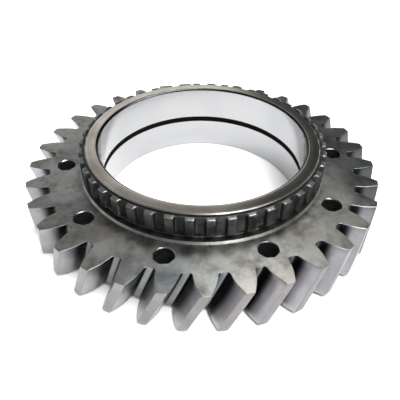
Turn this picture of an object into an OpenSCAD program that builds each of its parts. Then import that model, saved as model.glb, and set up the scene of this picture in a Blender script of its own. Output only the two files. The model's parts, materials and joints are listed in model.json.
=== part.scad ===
// Free-running helical gear wheel with a dog-clutch ring and two bearing sleeves.
// The axis is +Z and the origin is on the axis, in the plane of the lower end face.
// The gear wheel and its clutch ring turn together on the two sleeves.

/* [Gear teeth] */
// Number of helical teeth
teeth = 33; // [33:1:38]
// Module in the normal plane
normal_module = 5; // [5:0.1:5.6]
// Helix angle at the pitch circle, right-hand
helix_angle = 22; // [18:1:28]
// Pressure angle in the normal plane
pressure_angle = 20; // [18:0.5:22]
// Width of the toothed rim
face_width = 24; // [22:1:40]

/* [Web] */
// Number of holes through the web
hole_count = 10; // [4:1:12]
// Diameter of each hole
hole_d = 9.5; // [6:0.5:10]
// Diameter of the circle that the holes lie on
hole_pcd = 148; // [145:0.5:149]
// Chamfer on both mouths of each hole
hole_chamfer = 0.5; // [0.2:0.1:0.8]
// Height of the boss round the bore on the lower side
lower_boss = 1.7; // [1:0.1:3]

/* [Dog clutch ring] */
// Number of dog teeth
dog_teeth = 44; // [36:1:50]
// Diameter over the dog teeth
dog_tip_d = 130.4; // [129:0.1:130.6]
// Diameter at the roots of the dog teeth
dog_root_d = 126.2; // [125:0.1:127.4]
// Diameter of the rim above the dog teeth and of the neck below them
rim_d = 123.6; // [122:0.1:124.4]
// Height of the rim above the web
rim_height = 14.7; // [14.2:0.1:18]
// Height of the upper ends of the dog teeth above the web
dog_top = 14.1; // [12:0.1:14.2]
// Height of the lower ends of the dog teeth above the web
dog_bottom = 5.2; // [2.6:0.1:6]
// Height of the ledge between the rim and the dog teeth above the web
ledge_height = 13.5; // [11:0.1:13.7]
// Diameter of the seat that holds the ring in the web
seat_d = 130.6; // [130:0.1:132]
// Depth of the seat below the web face
seat_depth = 8; // [5:0.5:10]

/* [Bearing sleeves] */
// Bore of the sleeves
bore_d = 110; // [108:0.5:111]
// Wall thickness of the sleeves
sleeve_wall = 1.7; // [1.5:0.1:2]
// Radial clearance between the sleeves and the hub
running_clearance = 0.05; // [0.02:0.01:0.1]
// Depth of the upper sleeve's end below the rim's end face
sleeve_recess = 0.1; // [0:0.1:1]
// Width of the chamfer at the bore's upper mouth
mouth_chamfer = 1.3; // [0.5:0.1:1.4]
// Depth of that chamfer
mouth_depth = 0.8; // [0.3:0.1:1.4]
// Width of the gap between the sleeves, filled by the spacer ring
oil_gap = 3.4; // [2:0.1:4]
// Height of the middle of that gap above the lower end face
gap_middle = 19.4; // [17:0.1:22]
// Depth of the spacer ring below the bore's surface
spacer_recess = 0.6; // [0.3:0.1:1]

/* [Hidden] */
$fn = 96;

// Overlap that keeps a cut from ending exactly on a face
cut = 1;

// Gear teeth, in the transverse plane
addendum = normal_module;
dedendum = 1.4 * normal_module;
fillet_height = 0.38 * normal_module;
pitch_r = teeth * normal_module / cos(helix_angle) / 2;
tip_r = pitch_r + addendum;
root_r = pitch_r - dedendum;
flank_r = root_r + fillet_height;
transverse_angle = atan(tan(pressure_angle) / cos(helix_angle));
base_r = pitch_r * cos(transverse_angle);
tooth_step = 360 / teeth;
root_land_half = 0.06 * tooth_step;
// Angle of the first tooth on the upper face, measured from the first hole
tooth_phase = 4.1;
// Turn of the helix from the lower face to the upper face
helix_turn = face_width * tan(helix_angle) / pitch_r * 180 / PI;
helix_slices = 3;
flank_steps = 4;
fillet_steps = 3;

// Heights above the lower end face
web_z = lower_boss + face_width;
top_z = web_z + rim_height;
gap_low_z = gap_middle - oil_gap / 2;
gap_high_z = gap_middle + oil_gap / 2;

// Dog teeth: the root and the tip of each one take these shares of its pitch
dog_step = 360 / dog_teeth;
dog_phase = 6.4;
dog_root_half = 0.29 * dog_step;
dog_tip_half = 0.21 * dog_step;
// Depth to which the band of dog teeth reaches into the ring
dog_overlap = 1;

// Outline of the clutch ring
boss_height = 1.8;
boss_chamfer = 0.8;
rim_chamfer = 0.5;

// Sleeves and the hub that turns on them
bore_r = bore_d / 2;
sleeve_outer_r = bore_r + sleeve_wall;
hub_bore_r = sleeve_outer_r + running_clearance;
foot_chamfer = 0.4;

function polar(r, a) = [r * cos(a), r * sin(a)];

// Involute function of an angle in degrees, with its value in degrees too
function involute(a) = tan(a) * 180 / PI - a;

// Half of the angle that a tooth fills at radius r
function half_angle(r) =
    tooth_step / 4 + involute(transverse_angle) - involute(acos(min(1, base_r / r)));

// A point of the fillet between the root land and the flank, as a radius and a half angle
function fillet_point(t) =
    let (
        land = tooth_step / 2 - root_land_half,
        flank = half_angle(flank_r)
    )
    [root_r + fillet_height * (1 - cos(t)), land + (flank - land) * sin(t)];

// One side of a tooth from its root to its tip, as radii and half angles
function tooth_side() = concat(
    [for (i = [0:fillet_steps - 1]) fillet_point(90 * i / fillet_steps)],
    [
        for (i = [0:flank_steps])
            let (r = flank_r + (tip_r - flank_r) * i / flank_steps)
                [r, half_angle(r)]
    ]
);

// A whole tooth, anticlockwise
function tooth_outline(centre) =
    let (side = tooth_side())
    concat(
        [for (p = side) polar(p[0], centre - p[1])],
        [for (i = [len(side) - 1:-1:0]) polar(side[i][0], centre + side[i][1])]
    );

module toothed_blank() {
    outline = [for (k = [0:teeth - 1]) each tooth_outline(k * tooth_step)];
    translate([0, 0, lower_boss])
        rotate(tooth_phase - helix_turn)
            linear_extrude(height = face_width, twist = -helix_turn, slices = helix_slices)
                polygon(outline);
}

// Countersink whose wide end is at z = 0 and which narrows upwards
module hole_mouth() {
    translate([0, 0, -cut])
        cylinder(h = cut + hole_chamfer, r1 = hole_d / 2 + hole_chamfer + cut, r2 = hole_d / 2);
}

// One hole through the web, with a countersink at each end
module web_hole() {
    translate([0, 0, -cut])
        cylinder(h = web_z + 2 * cut, d = hole_d);
    translate([0, 0, lower_boss])
        hole_mouth();
    translate([0, 0, web_z])
        mirror([0, 0, 1])
            hole_mouth();
}

module gear_wheel() {
    color("dimgray")
        difference() {
            union() {
                toothed_blank();
                cylinder(h = lower_boss + cut, d = seat_d);
            }
            translate([0, 0, -cut])
                cylinder(h = web_z + 2 * cut, r = hub_bore_r);
            translate([0, 0, web_z - seat_depth])
                cylinder(h = seat_depth + cut, d = seat_d);
            for (k = [0:hole_count - 1])
                rotate(k * 360 / hole_count)
                    translate([hole_pcd / 2, 0, 0])
                        web_hole();
        }
}

// Section of the clutch ring without its dog teeth, as radius and height above the web
module ring_section() {
    polygon([
        [hub_bore_r, -seat_depth],
        [seat_d / 2, -seat_depth],
        [seat_d / 2, boss_height - boss_chamfer],
        [seat_d / 2 - boss_chamfer, boss_height],
        [rim_d / 2, boss_height],
        [rim_d / 2, dog_bottom],
        [dog_root_d / 2, dog_bottom],
        [dog_root_d / 2, ledge_height],
        [rim_d / 2, ledge_height],
        [rim_d / 2, rim_height - rim_chamfer],
        [rim_d / 2 - rim_chamfer, rim_height],
        [hub_bore_r, rim_height]
    ]);
}

// Every dog tooth in one closed outline, joined by a band under the roots
module dog_outline() {
    outline = [
        for (k = [0:dog_teeth - 1])
            let (a = k * dog_step + dog_phase)
                each [
                    polar(dog_root_d / 2, a - dog_root_half),
                    polar(dog_tip_d / 2, a - dog_tip_half),
                    polar(dog_tip_d / 2, a + dog_tip_half),
                    polar(dog_root_d / 2, a + dog_root_half)
                ]
    ];
    difference() {
        polygon(outline);
        circle(r = dog_root_d / 2 - dog_overlap);
    }
}

// The dog teeth, which end a little above the ledge beside the rim
module dog_band() {
    difference() {
        translate([0, 0, dog_bottom])
            linear_extrude(height = dog_top - dog_bottom)
                dog_outline();
        translate([0, 0, ledge_height])
            cylinder(h = dog_top - ledge_height + cut, d = dog_root_d);
    }
}

module clutch_ring() {
    color("darkgray")
        translate([0, 0, web_z]) {
            rotate_extrude()
                ring_section();
            dog_band();
        }
}

// A sleeve that stands on z = 0, with a chamfer on its lower inner edge
module sleeve(length, chamfer_width, chamfer_depth) {
    rotate_extrude()
        polygon([
            [bore_r, chamfer_depth],
            [bore_r + chamfer_width, 0],
            [sleeve_outer_r, 0],
            [sleeve_outer_r, length],
            [bore_r, length]
        ]);
}

module lower_sleeve() {
    color("white")
        sleeve(gap_low_z, foot_chamfer, foot_chamfer);
}

// The upper sleeve is turned over, so its chamfer is at the bore's upper mouth
module upper_sleeve() {
    color("white")
        translate([0, 0, top_z - sleeve_recess])
            mirror([0, 0, 1])
                sleeve(top_z - sleeve_recess - gap_high_z, mouth_chamfer, mouth_depth);
}

module spacer_ring() {
    color("black")
        translate([0, 0, gap_low_z])
            difference() {
                cylinder(h = oil_gap, r = sleeve_outer_r);
                translate([0, 0, -cut])
                    cylinder(h = oil_gap + 2 * cut, r = bore_r + spacer_recess);
            }
}

gear_wheel();
clutch_ring();
upper_sleeve();
lower_sleeve();
spacer_ring();
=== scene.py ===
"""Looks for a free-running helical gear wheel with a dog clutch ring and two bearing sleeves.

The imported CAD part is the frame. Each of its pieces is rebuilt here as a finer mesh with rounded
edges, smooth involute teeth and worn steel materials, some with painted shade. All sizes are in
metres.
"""
import json
import math
import bmesh
import bpy
from mathutils import Matrix, Vector
from mathutils.geometry import delaunay_2d_cdt


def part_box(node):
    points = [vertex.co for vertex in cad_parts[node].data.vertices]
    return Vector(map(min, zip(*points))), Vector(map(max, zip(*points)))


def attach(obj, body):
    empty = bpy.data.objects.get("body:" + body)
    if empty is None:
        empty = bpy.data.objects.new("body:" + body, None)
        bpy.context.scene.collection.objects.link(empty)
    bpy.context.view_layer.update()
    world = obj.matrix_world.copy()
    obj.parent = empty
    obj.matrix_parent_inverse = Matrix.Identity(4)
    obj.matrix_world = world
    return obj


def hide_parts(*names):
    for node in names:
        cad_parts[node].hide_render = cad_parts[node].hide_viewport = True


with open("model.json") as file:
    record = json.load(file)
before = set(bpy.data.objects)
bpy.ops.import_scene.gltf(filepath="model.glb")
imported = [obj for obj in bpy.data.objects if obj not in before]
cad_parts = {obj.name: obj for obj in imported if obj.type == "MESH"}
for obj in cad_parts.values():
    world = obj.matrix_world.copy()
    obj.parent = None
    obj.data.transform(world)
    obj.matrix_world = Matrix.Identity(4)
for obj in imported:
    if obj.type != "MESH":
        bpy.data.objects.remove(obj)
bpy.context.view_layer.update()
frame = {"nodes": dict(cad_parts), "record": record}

MM = 0.001
MOUNTS = {mount["name"]: mount for mount in frame["record"]["mounts"]}


def reach(node):
    """The largest distance of a CAD node from the axis."""
    return max(vertex.co.xy.length for vertex in frame["nodes"][node].data.vertices)


def heights(node):
    """The lowest and the highest height of a CAD node."""
    low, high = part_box(node)
    return low.z, high.z


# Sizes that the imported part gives
TIP_R = reach("gear_wheel")
SEAT_R = reach("clutch_ring")
SLEEVE_R = reach("upper_sleeve")
PITCH_R = MOUNTS["gear_mesh"]["pos_m"][0]
BORE_R = MOUNTS["bore"]["dims"]["r_mm"] * MM
HOLE_CIRCLE_R = MOUNTS["web_holes"]["dims"]["pcd_mm"] * MM / 2
HOLE_R = MOUNTS["web_holes"]["dims"]["hole_r_mm"] * MM
HOLE_COUNT = MOUNTS["web_holes"]["dims"]["count"]
WEB_Z = heights("gear_wheel")[1]
SEAT_Z, TOP_Z = heights("clutch_ring")
LOWER_SLEEVE_Z = heights("lower_sleeve")
UPPER_SLEEVE_Z = heights("upper_sleeve")
SPACER_Z = heights("spacer_ring")

# Helical teeth
TEETH = 33
FACE_WIDTH = 24 * MM
HELIX_ANGLE = math.radians(22)
PRESSURE_ANGLE = math.radians(20)
TOOTH_PHASE = math.radians(4.1)
TOOTH_HEIGHT = 12 * MM
FILLET_HEIGHT = 1.9 * MM
TIP_ROUND = 0.6 * MM
TOOTH_STEP = 2 * math.pi / TEETH
ROOT_LAND_HALF = 0.06 * TOOTH_STEP
ROOT_R = TIP_R - TOOTH_HEIGHT
FLANK_R = ROOT_R + FILLET_HEIGHT
TRANSVERSE_ANGLE = math.atan(math.tan(PRESSURE_ANGLE) / math.cos(HELIX_ANGLE))
BASE_R = PITCH_R * math.cos(TRANSVERSE_ANGLE)
RIM_LOW_Z = WEB_Z - FACE_WIDTH
HELIX_TURN = FACE_WIDTH * math.tan(HELIX_ANGLE) / PITCH_R
HELIX_SLICES = 12
EDGE_ROUND = 0.3 * MM
# The sharpest corner that an inset follows, as the cosine of half of its bend
SHARPEST_CORNER = 0.6
# Heights above the root land at which the flanks' painted shade, darkest in the depth of the gaps,
# starts to fade and is gone
GAP_SHADE_START = 4.0 * MM
GAP_SHADE_END = 8.0 * MM
# How far the edge of the painted shade wanders
GAP_SHADE_RAGGED = 2 * MM

# Hub and web
RUNNING_CLEARANCE = 0.05 * MM
HUB_R = SLEEVE_R + RUNNING_CLEARANCE
HOLE_CHAMFER = 0.5 * MM
HUB_CHAMFER = 0.3 * MM
CIRCLE_STEPS = 264
HOLE_STEPS = 48

# Dog clutch ring
DOG_TEETH = 44
DOG_STEP = 2 * math.pi / DOG_TEETH
DOG_PHASE = math.radians(6.4)
DOG_TIP_R = 65.2 * MM
DOG_LOW_Z = WEB_Z + 4.2 * MM
DOG_TOP_Z = WEB_Z + 14.1 * MM
DOG_ROUND = 0.3 * MM
DOG_ROOT_R = 63.1 * MM
# The rounded upper end of a tooth: how far it is cut back, its height, the share of its width that
# it loses, and the radius at which it meets the ledge
CROWN_REACH = 1.2 * MM
CROWN_DROP = 0.6 * MM
CROWN_SQUEEZE = 0.16
CROWN_INNER_R = DOG_ROOT_R + 0.15 * MM
LEDGE_Z = WEB_Z + 13.5 * MM
RIM_R = 61.8 * MM
RIM_CHAMFER = 0.5 * MM
FLANGE_R = SEAT_R + 0.8 * MM
FLANGE_Z = WEB_Z + 1.1 * MM
FLANGE_CHAMFER = 0.9 * MM
NECK_FILLET = 0.4 * MM

# Sleeves
FOOT_CHAMFER = 0.4 * MM
MOUTH_CHAMFER = 1.3 * MM
MOUTH_DEPTH = 0.8 * MM
SPACER_RECESS = 0.6 * MM
SPACER_INNER_R = BORE_R + SPACER_RECESS
SPACER_BEVEL = 0.2 * MM

# Painted shade on one side of the wheel, which darkens it there: its direction, the distances that
# way at which it starts and is thickest, how far its edge wanders, and how much of the steel's
# colour it hides
SIDE_SHADE_AZIMUTH = math.radians(22)
SIDE_SHADE_START = 48 * MM
SIDE_SHADE_FULL = 74 * MM
SIDE_SHADE_RAGGED = 12 * MM
SIDE_SHADE_STRENGTH = 0.68

# Colours, as linear red, green and blue
# The next colour is painted shade, laid on one side of the wheel.
SIDE_SHADE_COLOR = (0.014, 0.019, 0.022)
# The next colour is painted shade, for the depth of the tooth gaps.
GAP_SHADE_COLOR = (0.018, 0.019, 0.021)
TEAL_CLOUD = (0.13, 0.15, 0.155)
BROWN_CLOUD = (0.27, 0.245, 0.21)
PALE_CLOUD = (0.31, 0.32, 0.305)
DARK_STAIN = (0.09, 0.085, 0.077)

# What is left of the roughness where small edges are worn
WORN_SMOOTHER = 0.8

# Edges that bend more than this are drawn sharp
SHARP_ANGLE = math.radians(35)
# Points closer than this are merged
MERGE_DISTANCE = 1e-6
# How exact the filling of flat regions is, and its setting that fills only inside the loops
FILL_TOLERANCE = 1e-8
FILL_INSIDE = 1
# The colour sockets of the Mix node, which share their names with its other sockets
MIX_FIRST = 6
MIX_SECOND = 7
MIX_RESULT = 2


class Shell:
    """A closed surface gathered from rings of points and the faces between them."""

    def __init__(self):
        self.points = []
        self.faces = []
        self.zones = []

    def ring(self, points):
        """Adds a ring of points and returns their numbers."""
        first = len(self.points)
        self.points.extend(points)
        return list(range(first, len(self.points)))

    def circle(self, radius, height, steps=CIRCLE_STEPS):
        return self.ring([polar(radius, 2 * math.pi * i / steps, height) for i in range(steps)])

    def band(self, one, other, zones):
        """Joins two rings by quads; zones is one zone's name, or one name for each quad."""
        count = len(one)
        for i in range(count):
            after = (i + 1) % count
            self.faces.append((one[i], one[after], other[after], other[i]))
            self.zones.append(zones if isinstance(zones, str) else zones[i])

    def flat(self, loops, holes, zone):
        """Fills the flat region inside the loops, except for round holes of (centre, radius)."""
        numbers = []
        edges = []
        for loop in loops:
            first = len(numbers)
            numbers += loop
            edges += [(first + i, first + (i + 1) % len(loop)) for i in range(len(loop))]
        corners = [self.points[number].xy for number in numbers]
        filled = delaunay_2d_cdt(corners, edges, [], FILL_INSIDE, FILL_TOLERANCE)
        faces, sources = filled[2:4]
        for face in faces:
            corner_numbers = [sources[corner][0] for corner in face]
            middle = sum((corners[i] for i in corner_numbers), Vector((0, 0))) / len(face)
            if all((middle - centre).length > radius for centre, radius in holes):
                self.faces.append(tuple(numbers[i] for i in corner_numbers))
                self.zones.append(zone)

    def build(self, name, materials, flat_zones=()):
        """Makes the object, with a material for each zone and sharp edges round flat zones."""
        mesh = bpy.data.meshes.new(name)
        mesh.from_pydata(self.points, [], self.faces)
        order = list(materials)
        for zone in order:
            mesh.materials.append(materials[zone])
        for polygon, zone in zip(mesh.polygons, self.zones):
            polygon.material_index = order.index(zone)
        flats = {order.index(zone) for zone in flat_zones}
        work = bmesh.new()
        work.from_mesh(mesh)
        bmesh.ops.remove_doubles(work, verts=work.verts, dist=MERGE_DISTANCE)
        bmesh.ops.dissolve_degenerate(work, edges=work.edges, dist=MERGE_DISTANCE)
        bmesh.ops.recalc_face_normals(work, faces=work.faces)
        for face in work.faces:
            face.smooth = True
        for edge in work.edges:
            kinds = {face.material_index for face in edge.link_faces}
            bend = edge.calc_face_angle(0.0)
            edge.smooth = bend < SHARP_ANGLE and not (len(kinds) > 1 and kinds & flats)
        work.to_mesh(mesh)
        work.free()
        piece = bpy.data.objects.new(name, mesh)
        bpy.context.scene.collection.objects.link(piece)
        return piece


def polar(radius, angle, height):
    return Vector((radius * math.cos(angle), radius * math.sin(angle), height))


# ---------------------------------------------------------------- gear wheel


def involute(angle):
    return math.tan(angle) - angle


def half_angle(radius):
    """Half of the angle that a tooth fills at a radius."""
    turn = math.acos(min(1.0, BASE_R / radius))
    return TOOTH_STEP / 4 + involute(TRANSVERSE_ANGLE) - involute(turn)


def tooth_side(fillet_steps=5, flank_steps=9, round_steps=3):
    """One side of a tooth from its root to its tip: radius, half angle and zone of each point."""
    land = TOOTH_STEP / 2 - ROOT_LAND_HALF
    foot = half_angle(FLANK_R)
    side = [(ROOT_R, TOOTH_STEP / 2, "root")]
    for i in range(fillet_steps):
        turn = math.pi / 2 * i / fillet_steps
        radius = ROOT_R + FILLET_HEIGHT * (1 - math.cos(turn))
        side.append((radius, land + (foot - land) * math.sin(turn), "root" if i == 0 else "flank"))
    top = TIP_R - TIP_ROUND
    for i in range(flank_steps + 1):
        radius = FLANK_R + (top - FLANK_R) * i / flank_steps
        side.append((radius, half_angle(radius), "flank"))
    for i in range(1, round_steps + 1):
        turn = math.pi / 2 * i / round_steps
        radius = top + TIP_ROUND * math.sin(turn)
        side.append((radius, half_angle(top) - TIP_ROUND / TIP_R * (1 - math.cos(turn)), "tip"))
    side.append((TIP_R, side[-1][1] / 2, "tip"))
    return side


def gear_outline():
    """The anticlockwise outline of all the teeth, and the zone of the wall after each point."""
    points = []
    zones = []
    side = tooth_side()
    for k in range(TEETH):
        centre = k * TOOTH_STEP
        for radius, half, zone in side:
            points.append(polar(radius, centre - half, 0))
            zones.append(zone)
        points.append(polar(TIP_R, centre, 0))
        zones.append("tip")
        for i in range(len(side) - 1, 0, -1):
            points.append(polar(side[i][0], centre + side[i][1], 0))
            zones.append(side[i - 1][2])
    return points, zones


def inset(outline, depth):
    """The outline moved inwards by a depth, along the mean of its neighbouring edges' normals."""
    moved = []
    count = len(outline)
    for i, point in enumerate(outline):
        before = (point - outline[i - 1]).normalized()
        after = (outline[(i + 1) % count] - point).normalized()
        along = (before + after).normalized()
        inward = Vector((-along.y, along.x, 0))
        moved.append(point + inward * depth / max(SHARPEST_CORNER, along.dot(after)))
    return moved


def toothed_ring(shell, outline, height):
    """Adds the outline at a height, turned as far as the helix has turned there."""
    turn = TOOTH_PHASE - HELIX_TURN * (WEB_Z - height) / FACE_WIDTH
    around = Matrix.Rotation(turn, 4, "Z")
    lift = Vector((0, 0, height))
    return shell.ring([around @ point + lift for point in outline])


def web_hole(shell, middle):
    """Adds a hole with two chamfered mouths and returns its rings on the lower and upper face."""
    turns = [2 * math.pi * i / HOLE_STEPS for i in range(HOLE_STEPS)]
    section = [
        (HOLE_R + HOLE_CHAMFER, RIM_LOW_Z, "mouth"),
        (HOLE_R, RIM_LOW_Z + HOLE_CHAMFER, "hole"),
        (HOLE_R, WEB_Z - HOLE_CHAMFER, "mouth"),
        (HOLE_R + HOLE_CHAMFER, WEB_Z, None),
    ]
    rings = [
        shell.ring([middle + polar(radius, turn, height) for turn in turns])
        for radius, height, _ in section
    ]
    for i in range(len(section) - 1):
        shell.band(rings[i], rings[i + 1], section[i][2])
    return rings[0], rings[-1]


def gear_wheel(materials):
    shell = Shell()
    outline, zones = gear_outline()
    bend = 1 - math.sqrt(0.5)
    halfway = inset(outline, bend * EDGE_ROUND)
    face_edge = inset(outline, EDGE_ROUND)
    low, high = RIM_LOW_Z, WEB_Z
    lower_edge = toothed_ring(shell, face_edge, low)
    upper_edge = toothed_ring(shell, face_edge, high)
    rings = [toothed_ring(shell, halfway, low + bend * EDGE_ROUND)]
    for i in range(HELIX_SLICES + 1):
        height = low + EDGE_ROUND + (high - low - 2 * EDGE_ROUND) * i / HELIX_SLICES
        rings.append(toothed_ring(shell, outline, height))
    rings.append(toothed_ring(shell, halfway, high - bend * EDGE_ROUND))
    for one, other in zip(rings, rings[1:]):
        shell.band(one, other, zones)
    shell.band(lower_edge, rings[0], "edge")
    shell.band(rings[-1], upper_edge, "edge")

    upper_loops = [upper_edge]
    lower_loops = [lower_edge]
    openings = [(Vector((0, 0)), SEAT_R)]
    for k in range(HOLE_COUNT):
        middle = polar(HOLE_CIRCLE_R, 2 * math.pi * k / HOLE_COUNT, 0)
        lower_mouth, upper_mouth = web_hole(shell, middle)
        lower_loops.append(lower_mouth)
        upper_loops.append(upper_mouth)
        openings.append((middle.xy, HOLE_R))

    hub = [
        (SEAT_R + HUB_CHAMFER, high, "edge"),
        (SEAT_R, high - HUB_CHAMFER, "hole"),
        (SEAT_R, SEAT_Z, "hole"),
        (HUB_R, SEAT_Z, "hole"),
        (HUB_R, HUB_CHAMFER, "edge"),
        (HUB_R + HUB_CHAMFER, 0, "boss"),
        (SEAT_R - HUB_CHAMFER, 0, "edge"),
        (SEAT_R, HUB_CHAMFER, "boss"),
        (SEAT_R, low, "boss"),
    ]
    hub_rings = [shell.circle(radius, height) for radius, height, _ in hub]
    for i in range(len(hub) - 1):
        shell.band(hub_rings[i], hub_rings[i + 1], hub[i][2])
    shell.flat(upper_loops + [hub_rings[0]], openings, "web")
    shell.flat(lower_loops + [hub_rings[-1]], openings, "web")
    return shell.build("helical_gear_wheel", materials, flat_zones=("web",))


# ---------------------------------------------------------------- dog clutch ring

# One side of a dog tooth: share of the pitch from its middle, and share of the tooth's height
DOG_SIDE = [
    (0.5, 0.0),
    (0.4, 0.0),
    (0.315, 0.0),
    (0.275, 0.12),
    (0.222, 0.9),
    (0.2, 1.0),
    (0.1, 1.0),
]


def dog_profile():
    """Tooth number, share of the pitch and height of each point round the ring."""
    other_side = [(-share, rise) for share, rise in DOG_SIDE[:0:-1]]
    return [
        (k, share, rise)
        for k in range(DOG_TEETH)
        for share, rise in DOG_SIDE + [(0.0, 1.0)] + other_side
    ]


def dog_angle(tooth, share):
    return DOG_PHASE + (tooth - share) * DOG_STEP


def dog_ring(shell, profile, cutback, height):
    """A ring round the dog teeth below their rounded upper ends, with the tips cut back."""
    points = []
    for tooth, share, rise in profile:
        radius = DOG_ROOT_R + (DOG_TIP_R - DOG_ROOT_R) * rise
        points.append(polar(max(DOG_ROOT_R, radius - cutback), dog_angle(tooth, share), height))
    return shell.ring(points)


def crown_ring(shell, profile, turn, inner=False):
    """A ring on the rounded upper ends of the teeth, at a turn of the rounding."""
    cutback = CROWN_REACH * (1 - math.cos(turn))
    squeeze = 1 - CROWN_SQUEEZE * (1 - math.cos(turn))
    points = []
    for tooth, share, rise in profile:
        radius = DOG_ROOT_R + (DOG_TIP_R - DOG_ROOT_R) * rise
        height = DOG_TOP_Z - CROWN_DROP
        if rise > 0:
            share *= squeeze
            radius = CROWN_INNER_R if inner else max(CROWN_INNER_R, radius - cutback)
            height += CROWN_DROP * math.sin(turn)
        points.append(polar(radius, dog_angle(tooth, share), height))
    return shell.ring(points)


def clutch_ring(materials, crown_steps=4):
    shell = Shell()
    profile = dog_profile()

    def plain(radius, height):
        return shell.ring([
            polar(radius, dog_angle(tooth, share), height) for tooth, share, _ in profile
        ])

    section = [
        (plain(HUB_R, SEAT_Z), "turned"),
        (plain(SEAT_R, SEAT_Z), "turned"),
        (plain(SEAT_R, WEB_Z), "turned"),
        (plain(FLANGE_R, WEB_Z), "flange"),
        (plain(FLANGE_R, FLANGE_Z - FLANGE_CHAMFER), "chamfer"),
        (plain(FLANGE_R - FLANGE_CHAMFER, FLANGE_Z), "flange"),
        (plain(RIM_R + NECK_FILLET, FLANGE_Z), "dog"),
        (plain(RIM_R, FLANGE_Z + NECK_FILLET), "dog"),
        (plain(RIM_R, DOG_LOW_Z), "dog"),
        (plain(DOG_ROOT_R, DOG_LOW_Z), "dog"),
        (dog_ring(shell, profile, DOG_ROUND, DOG_LOW_Z), "dog"),
        (dog_ring(shell, profile, 0, DOG_LOW_Z + DOG_ROUND), "dog"),
    ]
    for i in range(crown_steps + 1):
        section.append((crown_ring(shell, profile, math.pi / 2 * i / crown_steps), "crown"))
    section += [
        (crown_ring(shell, profile, math.pi / 2, inner=True), "dog"),
        (plain(DOG_ROOT_R, LEDGE_Z), "dog"),
        (plain(RIM_R, LEDGE_Z), "dog"),
        (plain(RIM_R, TOP_Z - RIM_CHAMFER), "chamfer"),
        (plain(RIM_R - RIM_CHAMFER, TOP_Z), "rim"),
        (plain(HUB_R, TOP_Z), "turned"),
    ]
    for i, (ring, zones) in enumerate(section):
        shell.band(ring, section[(i + 1) % len(section)][0], zones)
    return shell.build("dog_clutch_ring", materials, flat_zones=("rim", "flange"))


# ---------------------------------------------------------------- sleeves and spacer


def lathe(name, section, materials):
    """Turns a closed section of (radius, height, zone) corners round the axis."""
    shell = Shell()
    rings = [shell.circle(radius, height) for radius, height, _ in section]
    for i, (_, _, zone) in enumerate(section):
        shell.band(rings[i], rings[(i + 1) % len(rings)], zone)
    return shell.build(name, materials)


def lower_sleeve(materials):
    low, high = LOWER_SLEEVE_Z
    section = [
        (BORE_R, low + FOOT_CHAMFER, "polished"),
        (BORE_R, high, "end"),
        (SLEEVE_R, high, "end"),
        (SLEEVE_R, low, "end"),
        (BORE_R + FOOT_CHAMFER, low, "foot"),
    ]
    return lathe("lower_bearing_sleeve", section, materials)


def upper_sleeve(materials):
    low, high = UPPER_SLEEVE_Z
    section = [
        (BORE_R, low, "polished"),
        (BORE_R, high - MOUTH_DEPTH, "mouth"),
        (BORE_R + MOUTH_CHAMFER, high, "rim"),
        (SLEEVE_R, high, "end"),
        (SLEEVE_R, low, "end"),
    ]
    return lathe("upper_bearing_sleeve", section, materials)


def spacer_ring(materials):
    low, high = SPACER_Z
    section = [
        (SPACER_INNER_R, low + SPACER_BEVEL, "black"),
        (SPACER_INNER_R, high - SPACER_BEVEL, "black"),
        (SPACER_INNER_R + SPACER_BEVEL, high, "black"),
        (SLEEVE_R, high, "black"),
        (SLEEVE_R, low, "black"),
        (SPACER_INNER_R + SPACER_BEVEL, low, "black"),
    ]
    return lathe("black_spacer_ring", section, materials)


# ---------------------------------------------------------------- materials


def add_node(tree, kind, links=None, **settings):
    """Adds a node; links gives its inputs a socket or a value, settings are its properties."""
    node = tree.nodes.new(kind)
    for name, value in settings.items():
        setattr(node, name, value)
    for socket, value in (links or {}).items():
        if isinstance(value, bpy.types.NodeSocket):
            tree.links.new(value, node.inputs[socket])
        else:
            node.inputs[socket].default_value = value
    return node


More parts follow.
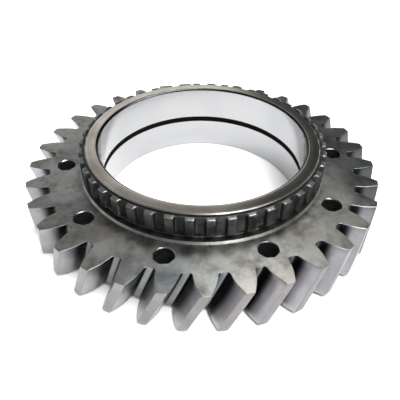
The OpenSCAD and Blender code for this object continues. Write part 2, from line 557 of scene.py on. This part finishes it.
class Recipe:
    """A material that is being put together from nodes, on one Principled shader."""

    def __init__(self, name, metallic=1.0):
        self.material = bpy.data.materials.new(name)
        self.material.use_nodes = True
        self.tree = self.material.node_tree
        self.shader = self.tree.nodes["Principled BSDF"]
        self.shader.inputs["Metallic"].default_value = metallic
        self.place = self.add("ShaderNodeTexCoord").outputs["Object"]

    def add(self, kind, links=None, **settings):
        return add_node(self.tree, kind, links, **settings)

    def noise(self, scale, detail, roughness, vector=None, stretch=None):
        """Noise of 0 to 1, with about scale waves in a metre, times stretch along each axis."""
        vector = vector or self.place
        if stretch:
            vector = self.add(
                "ShaderNodeVectorMath", {0: vector, 1: stretch}, operation="MULTIPLY"
            ).outputs[0]
        links = {"Vector": vector, "Scale": scale, "Detail": detail, "Roughness": roughness}
        return self.add("ShaderNodeTexNoise", links).outputs["Fac"]

    def radius(self):
        """The distance from the axis."""
        flat = self.add(
            "ShaderNodeVectorMath", {0: self.place, 1: (1, 1, 0)}, operation="MULTIPLY"
        ).outputs[0]
        return self.add("ShaderNodeVectorMath", {0: flat}, operation="LENGTH").outputs["Value"]

    def side_shaded(self, color):
        """The colour, darkened by painted shade towards one side of the wheel."""
        side = (math.cos(SIDE_SHADE_AZIMUTH), math.sin(SIDE_SHADE_AZIMUTH), 0)
        across = self.add(
            "ShaderNodeVectorMath", {0: self.place, 1: side}, operation="DOT_PRODUCT"
        ).outputs["Value"]
        ragged = self.sum(across, self.noise(40, 4, 0.6), factor=SIDE_SHADE_RAGGED)
        share = self.remap(ragged, SIDE_SHADE_START, SIDE_SHADE_FULL, 0.0, SIDE_SHADE_STRENGTH, smooth=True)
        return self.blend(share, color, SIDE_SHADE_COLOR)

    def turning(self):
        """Coordinates that don't change round the axis: distance from it, and height."""
        height = self.add("ShaderNodeSeparateXYZ", {0: self.place}).outputs["Z"]
        return self.add("ShaderNodeCombineXYZ", {0: self.radius(), 1: height}).outputs[0]

    def remap(self, value, low, high, new_low=0.0, new_high=1.0, smooth=False):
        """The value moved from one range to another, and kept inside it."""
        links = {
            "Value": value,
            "From Min": low,
            "From Max": high,
            "To Min": new_low,
            "To Max": new_high,
        }
        kind = "SMOOTHSTEP" if smooth else "LINEAR"
        return self.add("ShaderNodeMapRange", links, clamp=True, interpolation_type=kind).outputs[0]

    def sum(self, one, other, factor=1.0):
        """The first value plus the second one times a factor."""
        links = {0: other, 1: factor, 2: one}
        return self.add("ShaderNodeMath", links, operation="MULTIPLY_ADD").outputs[0]

    def blend(self, share, one, other):
        """The first colour, with a share of it replaced by the other one."""
        node = self.add("ShaderNodeMix", {"Factor": share}, data_type="RGBA")
        for socket, value in ((node.inputs[MIX_FIRST], one), (node.inputs[MIX_SECOND], other)):
            if isinstance(value, bpy.types.NodeSocket):
                self.tree.links.new(value, socket)
            else:
                socket.default_value = (*value, 1.0)
        return node.outputs[MIX_RESULT]

    def bump(self, height, depth):
        """A normal for a surface that is raised by the height, by a depth at most."""
        return self.add("ShaderNodeBump", {"Height": height, "Distance": depth}).outputs[0]

    def finish(self, color, roughness, normal=None):
        """Gives the shader its colour, roughness and normal, and returns the material."""
        for name, value in (("Base Color", color), ("Roughness", roughness), ("Normal", normal)):
            if isinstance(value, bpy.types.NodeSocket):
                self.tree.links.new(value, self.shader.inputs[name])
            elif value is not None:
                self.shader.inputs[name].default_value = value
        return self.material

    def grain_round_axis(self, strength):
        """Stretches reflections across the turning marks."""
        tangent = self.add("ShaderNodeTangent", direction_type="RADIAL", axis="Z").outputs[0]
        self.tree.links.new(tangent, self.shader.inputs["Tangent"])
        self.shader.inputs["Anisotropic"].default_value = strength


def web_steel():
    """Steel with brown and blue-grey clouds and a fine blasted grain, and painted shade on one side
    of the wheel.
    """
    recipe = Recipe("web_steel")
    patches = recipe.remap(recipe.noise(21, 3, 0.5), 0.35, 0.58, smooth=True)
    clouds = recipe.remap(recipe.noise(48, 6, 0.68, stretch=(1, 1.3, 1)), 0.36, 0.66)
    stains = recipe.remap(recipe.noise(95, 5, 0.65), 0.46, 0.72)
    speckle = recipe.noise(1400, 2, 0.5)
    ground = recipe.blend(patches, TEAL_CLOUD, BROWN_CLOUD)
    mottled = recipe.blend(clouds, PALE_CLOUD, ground)
    color = recipe.side_shaded(recipe.blend(stains, mottled, DARK_STAIN))
    roughness = recipe.remap(clouds, 0, 1, new_low=0.4, new_high=0.29)
    normal = recipe.bump(speckle, 0.012 * MM)
    return recipe.finish(color, roughness, normal)


def flank_steel():
    """Tooth flanks: polished by the mating teeth outside, darkened by painted shade towards the
    roots in the depth of the gaps, and by painted shade on one side of the wheel.
    """
    recipe = Recipe("flank_steel")
    lines = recipe.noise(900, 3, 0.6, stretch=(1, 1, 0.12))
    clouds = recipe.noise(60, 4, 0.6)
    reached = recipe.sum(recipe.radius(), clouds, factor=GAP_SHADE_RAGGED)
    # The share of each flank that lies above the painted shade of the gap.
    bare = recipe.remap(reached, ROOT_R + GAP_SHADE_START, ROOT_R + GAP_SHADE_END, smooth=True)
    cloudy = recipe.remap(clouds, 0.35, 0.7)
    bright = recipe.blend(cloudy, (0.25, 0.245, 0.257), (0.37, 0.362, 0.377))
    color = recipe.side_shaded(recipe.blend(bare, GAP_SHADE_COLOR, bright))
    roughness = recipe.remap(lines, 0.3, 0.7, new_low=0.3, new_high=0.4)
    normal = recipe.bump(lines, 0.003 * MM)
    return recipe.finish(color, roughness, normal)


def tip_steel():
    """Turned tooth tips, with painted shade on one side of the wheel."""
    recipe = Recipe("tip_steel")
    marks = recipe.noise(1100, 3, 0.6, vector=recipe.turning())
    clouds = recipe.noise(55, 4, 0.6)
    cloudy = recipe.remap(clouds, 0.35, 0.7)
    color = recipe.side_shaded(recipe.blend(cloudy, (0.2, 0.193, 0.187), (0.27, 0.26, 0.255)))
    roughness = recipe.remap(marks, 0.3, 0.7, new_low=0.32, new_high=0.42)
    normal = recipe.bump(marks, 0.004 * MM)
    return recipe.finish(color, roughness, normal)


def root_steel():
    """The hobbed lands between the teeth."""
    recipe = Recipe("root_steel")
    clouds = recipe.noise(90, 4, 0.6)
    cloudy = recipe.remap(clouds, 0.35, 0.7)
    color = recipe.blend(cloudy, (0.15, 0.157, 0.16), (0.24, 0.25, 0.255))
    normal = recipe.bump(recipe.noise(1300, 2, 0.5), 0.006 * MM)
    return recipe.finish(color, roughness=0.4, normal=normal)


def plain_steel(name, dark, light, rough, scale=160):
    """Small edges and chamfers, with wear that comes and goes along them."""
    recipe = Recipe(name)
    wear = recipe.remap(recipe.noise(scale, 4, 0.6), 0.35, 0.65)
    color = recipe.blend(wear, dark, light)
    roughness = recipe.remap(wear, 0, 1, new_low=rough, new_high=WORN_SMOOTHER * rough)
    return recipe.finish(color, roughness)


def hole_steel():
    """Drilled walls with a dark oil film."""
    recipe = Recipe("hole_steel")
    marks = recipe.noise(900, 3, 0.6, stretch=(0.1, 0.1, 1))
    streaky = recipe.remap(marks, 0.3, 0.7)
    color = recipe.blend(streaky, (0.07, 0.07, 0.072), (0.19, 0.19, 0.19))
    normal = recipe.bump(marks, 0.02 * MM)
    return recipe.finish(color, roughness=0.45, normal=normal)


def turned_steel(name, dark, light, smooth, rough, grain):
    """Lathe-turned steel: rings of lighter and darker metal, with stretched reflections."""
    recipe = Recipe(name)
    around = recipe.turning()
    rings = recipe.noise(900, 3, 0.65, vector=around)
    clouds = recipe.noise(45, 4, 0.6)
    mixed = recipe.sum(rings, clouds)
    color = recipe.blend(recipe.remap(mixed, 0.75, 1.3), dark, light)
    roughness = recipe.remap(rings, 0.3, 0.7, new_low=smooth, new_high=rough)
    normal = recipe.bump(recipe.noise(3600, 2, 0.5, vector=around), 0.006 * MM)
    recipe.grain_round_axis(grain)
    return recipe.finish(color, roughness, normal)


def dog_steel():
    """Dog teeth, the roots between them and the neck below them, all in near-black steel with
    lighter clouds.
    """
    recipe = Recipe("dog_steel")
    clouds = recipe.remap(recipe.noise(180, 5, 0.65), 0.35, 0.7)
    color = recipe.blend(clouds, (0.022, 0.022, 0.023), (0.085, 0.085, 0.082))
    roughness = recipe.remap(clouds, 0, 1, new_low=0.5, new_high=0.36)
    normal = recipe.bump(recipe.noise(1500, 3, 0.6), 0.012 * MM)
    return recipe.finish(color, roughness, normal)


def polished_steel():
    """Ground and polished bearing surface, with hair-fine grinding rings."""
    recipe = Recipe("polished_steel")
    rings = recipe.noise(5000, 2, 0.5, vector=recipe.turning())
    clouds = recipe.noise(30, 3, 0.5)
    cloudy = recipe.remap(clouds, 0.3, 0.7)
    color = recipe.blend(cloudy, (0.4, 0.405, 0.415), (0.46, 0.46, 0.465))
    roughness = recipe.remap(rings, 0.3, 0.7, new_low=0.14, new_high=0.22)
    normal = recipe.bump(rings, 0.0008 * MM)
    return recipe.finish(color, roughness, normal)


def black_groove_shade():
    """Matt black with a faint dusty variation; its near-black colour and faint sheen are painted
    shade, standing in for the shaded groove in the bore.
    """
    recipe = Recipe("black_groove_shade", metallic=0.0)
    clouds = recipe.noise(120, 4, 0.6)
    dusty = recipe.remap(clouds, 0.35, 0.7)
    color = recipe.blend(dusty, (0.002, 0.002, 0.002), (0.005, 0.005, 0.005))
    roughness = recipe.remap(clouds, 0.3, 0.7, new_low=0.6, new_high=0.75)
    recipe.shader.inputs["Specular IOR Level"].default_value = 0.05
    return recipe.finish(color, roughness)


def floor_white():
    """A plain pale table top."""
    recipe = Recipe("floor_white", metallic=0.0)
    color = recipe.blend(recipe.noise(3, 2, 0.5), (0.88, 0.88, 0.88), (0.9, 0.9, 0.9))
    return recipe.finish(color, roughness=0.9)


# ---------------------------------------------------------------- pieces


def place(piece, body, node):
    """The piece rides on a body and stands for a CAD node, which is hidden."""
    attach(piece, body)
    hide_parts(node)


def make_pieces():
    turned = turned_steel(
        "turned_steel", (0.3, 0.3, 0.29), (0.5, 0.49, 0.47), smooth=0.3, rough=0.42, grain=0.5
    )
    rim = turned_steel(
        "rim_steel", (0.42, 0.38, 0.31), (0.84, 0.79, 0.71), smooth=0.12, rough=0.2, grain=0.3
    )
    bare = plain_steel("worn_edge_steel", (0.09, 0.09, 0.09), (0.18, 0.18, 0.176), rough=0.42)
    chamfer = plain_steel(
        "chamfer_steel", (0.14, 0.137, 0.125), (0.26, 0.255, 0.235), rough=0.32
    )
    # The mouth chamfer of the upper sleeve is near black: painted shade, standing in for the shaded
    # chamfer at the bore's mouth.
    mouth = plain_steel(
        "mouth_shade_steel", (0.03, 0.031, 0.033), (0.05, 0.05, 0.053), rough=0.17, scale=50
    )
    crown = plain_steel(
        "dog_crown_steel", (0.12, 0.12, 0.123), (0.19, 0.19, 0.193), rough=0.42
    )
    polished = polished_steel()
    black = black_groove_shade()
    wheel = {
        "web": web_steel(),
        "flank": flank_steel(),
        "tip": tip_steel(),
        "root": root_steel(),
        "edge": bare,
        "mouth": chamfer,
        "hole": hole_steel(),
        "boss": turned,
    }
    ring = {
        "turned": turned,
        # The flange's upper face, below the dog teeth, takes the dark edge steel: partly painted
        # shade under the teeth, partly dirt.
        "flange": bare,
        "chamfer": chamfer,
        "dog": dog_steel(),
        "crown": crown,
        "rim": rim,
    }
    place(gear_wheel(wheel), "gear", "gear_wheel")
    place(clutch_ring(ring), "gear", "clutch_ring")
    upper = upper_sleeve({"polished": polished, "mouth": mouth, "rim": rim, "end": black})
    place(upper, "sleeves", "upper_sleeve")
    lower = lower_sleeve({"polished": polished, "foot": chamfer, "end": black})
    place(lower, "sleeves", "lower_sleeve")
    place(spacer_ring({"black": black}), "sleeves", "spacer_ring")


# ---------------------------------------------------------------- floor, light and camera

FLOOR_HALF = 3.0

# The room: its turn about the vertical, the colour of its light, and the brightness of its dark
# side and of its ceiling. Each change of brightness runs between two values of X or Z.
ROOM_TURN = math.radians(2.5)
ROOM_COLOR = (0.97, 0.98, 1.0, 1)
DARK_SIDE = 0.06
DARK_SIDE_X = (0.08, 0.18)
LOW_BAND_Z = (0.35, 0.43)
CEILING = 0.3
CEILING_Z = (0.38, 0.68)
SOFTBOX_DISTANCE = 1.6

# The camera, seen from the middle of the web's upper face
CAMERA_DISTANCE = 2.606 * TIP_R
CAMERA_AZIMUTH = math.radians(-95.5)
CAMERA_ELEVATION = math.radians(35.13)
CAMERA_DIP = math.radians(5.36)
CAMERA_PAN = math.radians(-0.28)
CAMERA_ROLL = math.radians(0.5)
CAMERA_LENS = 39.456
CAMERA_SENSOR = 36.0
CAMERA_NEAREST = 0.01


def towards(azimuth, elevation):
    """A unit vector in a direction."""
    return Vector((
        math.cos(elevation) * math.cos(azimuth),
        math.cos(elevation) * math.sin(azimuth),
        math.sin(elevation),
    ))


def add_camera():
    data = bpy.data.cameras.new("camera")
    data.lens = CAMERA_LENS
    data.sensor_width = CAMERA_SENSOR
    data.clip_start = CAMERA_NEAREST
    camera = bpy.data.objects.new("camera", data)
    bpy.context.scene.collection.objects.link(camera)
    target = Vector((0, 0, WEB_Z))
    place_at = target + towards(CAMERA_AZIMUTH, CAMERA_ELEVATION) * CAMERA_DISTANCE
    heading = CAMERA_AZIMUTH + math.pi - CAMERA_PAN
    forward = towards(heading, -(CAMERA_ELEVATION + CAMERA_DIP))
    right = towards(heading - math.pi / 2, 0)
    up = right.cross(forward)
    rolled_right = right * math.cos(CAMERA_ROLL) + up * math.sin(CAMERA_ROLL)
    rolled_up = up * math.cos(CAMERA_ROLL) - right * math.sin(CAMERA_ROLL)
    axes = Matrix((rolled_right, rolled_up, -forward)).transposed().to_4x4()
    camera.matrix_world = Matrix.Translation(place_at) @ axes
    bpy.context.scene.camera = camera


def add_floor():
    shell = Shell()
    corners = ((-1, -1), (1, -1), (1, 1), (-1, 1))
    square = [Vector((x * FLOOR_HALF, y * FLOOR_HALF, 0)) for x, y in corners]
    shell.faces.append(tuple(shell.ring(square)))
    shell.zones.append("floor")
    shell.build("floor", {"floor": floor_white()})


def add_softbox(name, azimuth, elevation, width, height, power):
    """Adds an area light that faces the origin; its direction is in degrees."""
    data = bpy.data.lights.new(name, "AREA")
    data.shape = "RECTANGLE"
    data.size = width
    data.size_y = height
    data.energy = power
    light = bpy.data.objects.new(name, data)
    bpy.context.scene.collection.objects.link(light)
    direction = towards(math.radians(azimuth), math.radians(elevation))
    light.location = direction * SOFTBOX_DISTANCE
    light.rotation_euler = direction.to_track_quat("Z", "Y").to_euler()


def add_surroundings():
    """A room that is bright low down and on the left, dark high on the right, dimmer overhead."""
    world = bpy.data.worlds.new("studio")
    bpy.context.scene.world = world
    world.use_nodes = True
    tree = world.node_tree
    tree.nodes.clear()

    def fall(value, span, end):
        """Falls smoothly from 1 to an end value over a span of the input."""
        start, stop = span
        links = {"Value": value, "From Min": start, "From Max": stop, "To Min": 1.0, "To Max": end}
        node = add_node(tree, "ShaderNodeMapRange", links, interpolation_type="SMOOTHSTEP")
        return node.outputs[0]

    def math_node(operation, one, other):
        return add_node(tree, "ShaderNodeMath", {0: one, 1: other}, operation=operation).outputs[0]

    direction = add_node(tree, "ShaderNodeTexCoord").outputs["Generated"]
    turned = add_node(
        tree,
        "ShaderNodeVectorRotate",
        {"Vector": direction, "Angle": ROOM_TURN},
        rotation_type="Z_AXIS",
    ).outputs[0]
    parts = add_node(tree, "ShaderNodeSeparateXYZ", {0: turned})
    side = fall(parts.outputs["X"], DARK_SIDE_X, DARK_SIDE)
    low = fall(parts.outputs["Z"], LOW_BAND_Z, 0.0)
    rise = fall(parts.outputs["Z"], CEILING_Z, CEILING)
    strength = math_node("MULTIPLY", math_node("MAXIMUM", side, low), rise)
    links = {"Color": ROOM_COLOR, "Strength": strength}
    background = add_node(tree, "ShaderNodeBackground", links)
    output = add_node(tree, "ShaderNodeOutputWorld")
    tree.links.new(background.outputs[0], output.inputs["Surface"])


def add_lights():
    add_surroundings()
    add_softbox("key_softbox", azimuth=-55, elevation=62, width=1.1, height=1.1, power=50)
    add_softbox("rear_softbox", azimuth=66, elevation=62, width=0.5, height=0.4, power=5.5)


def main():
    make_pieces()
    add_floor()
    add_camera()
    add_lights()
    bpy.context.scene.view_settings.view_transform = "Standard"


main()
